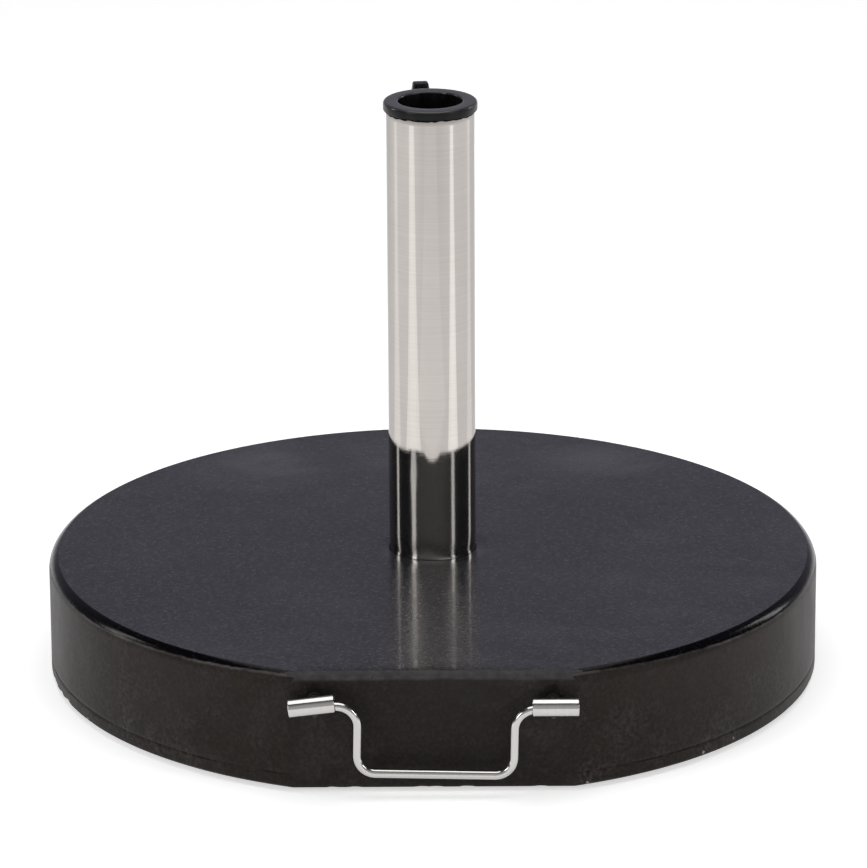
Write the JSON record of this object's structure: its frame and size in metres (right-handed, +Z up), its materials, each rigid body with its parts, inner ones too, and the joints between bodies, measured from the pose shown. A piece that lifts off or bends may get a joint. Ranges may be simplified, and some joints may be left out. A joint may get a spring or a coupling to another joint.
{
  "type": "parasol base",
  "caption": "Round stone parasol base with a steel pole tube, reducer collar, rear clamp screw, swinging bail handle on a flat cut and tilt-to-roll transport wheels.",
  "frame": {"origin": "on the floor under the centre of the round slab, on the pole tube's axis", "axes": "+Z up along the pole tube, -Y towards the flat cut with the handle, +Y towards the clamp screw and the wheels, +X to the right seen from the handle side"},
  "size_m": [0.45, 0.4501, 0.3413],
  "materials": {
    "stone": "satin",
    "brushed_stainless": "satin",
    "zinc_plated": "satin",
    "black_plastic": "satin",
    "grey_nylon": "matte",
    "rubber": "matte",
    "brass": "satin"
  },
  "bodies": {
    "base": {"base_slab": "stone", "rubber_foot_front_left": "rubber", "rubber_foot_front_right": "rubber", "rubber_foot_back_left": "rubber", "rubber_foot_back_right": "rubber", "pole_tube": "brushed_stainless", "tube_bottom_plate": "brushed_stainless", "tube_weld_nut": "zinc_plated", "tube_fixing_bolt": "zinc_plated", "tube_spring_washer": "zinc_plated", "tube_flat_washer": "zinc_plated", "clamp_boss": "brushed_stainless", "handle_sleeve_left": "brushed_stainless", "handle_sleeve_right": "brushed_stainless", "handle_stud_left": "zinc_plated", "handle_stud_right": "zinc_plated", "handle_plug_left": "black_plastic", "handle_plug_right": "black_plastic", "handle_grub_screw_left": "brushed_stainless", "handle_grub_screw_right": "brushed_stainless", "wheel_bracket": "zinc_plated", "wheel_axle": "zinc_plated", "axle_cap_left": "black_plastic", "axle_cap_right": "black_plastic", "bracket_bolt_left": "zinc_plated", "bracket_bolt_right": "zinc_plated", "bracket_insert_left": "brass", "bracket_insert_right": "brass"},
    "collar": {"reducer_collar": "black_plastic"},
    "pad": {"clamp_pad": "grey_nylon"},
    "clamp_knob": {"clamp_screw": "zinc_plated", "clamp_grip": "black_plastic", "grip_cap": "black_plastic"},
    "handle": {"bail_handle": "brushed_stainless"},
    "wheel_left": {"wheel_left": "black_plastic"},
    "wheel_right": {"wheel_right": "black_plastic"}
  },
  "joints": [
    {"name": "handle_pivot", "type": "hinge", "parent": "base", "child": "handle", "pos_m": [0.0016, -0.2198, 0.05345], "axis": [-0.9997, 0, 0.0227], "range_deg": [-9, 195]},
    {"name": "collar_lift", "type": "slide", "parent": "base", "child": "collar", "axis": [0, 0, 1], "range_m": [0, 0.03]},
    {"name": "pad_advance", "type": "slide", "parent": "base", "child": "pad", "axis": [0.1097, -0.994, 0], "range_m": [0, 0.0101]},
    {"name": "screw_turn", "type": "hinge", "parent": "pad", "child": "clamp_knob", "pos_m": [0, 0, 0.3077], "axis": [0.1097, -0.994, 0], "range_deg": [0, 2880]},
    {"name": "wheel_left_spin", "type": "hinge", "parent": "base", "child": "wheel_left", "pos_m": [-0.0553, 0.205, 0.0215], "axis": [1, 0, 0], "continuous": true},
    {"name": "wheel_right_spin", "type": "hinge", "parent": "base", "child": "wheel_right", "pos_m": [0.0553, 0.205, 0.0215], "axis": [1, 0, 0], "continuous": true}
  ],
  "couplings": [
    {"joint": "pad_advance", "follows": "screw_turn", "m_per_rad": 0.00019894}
  ]
}
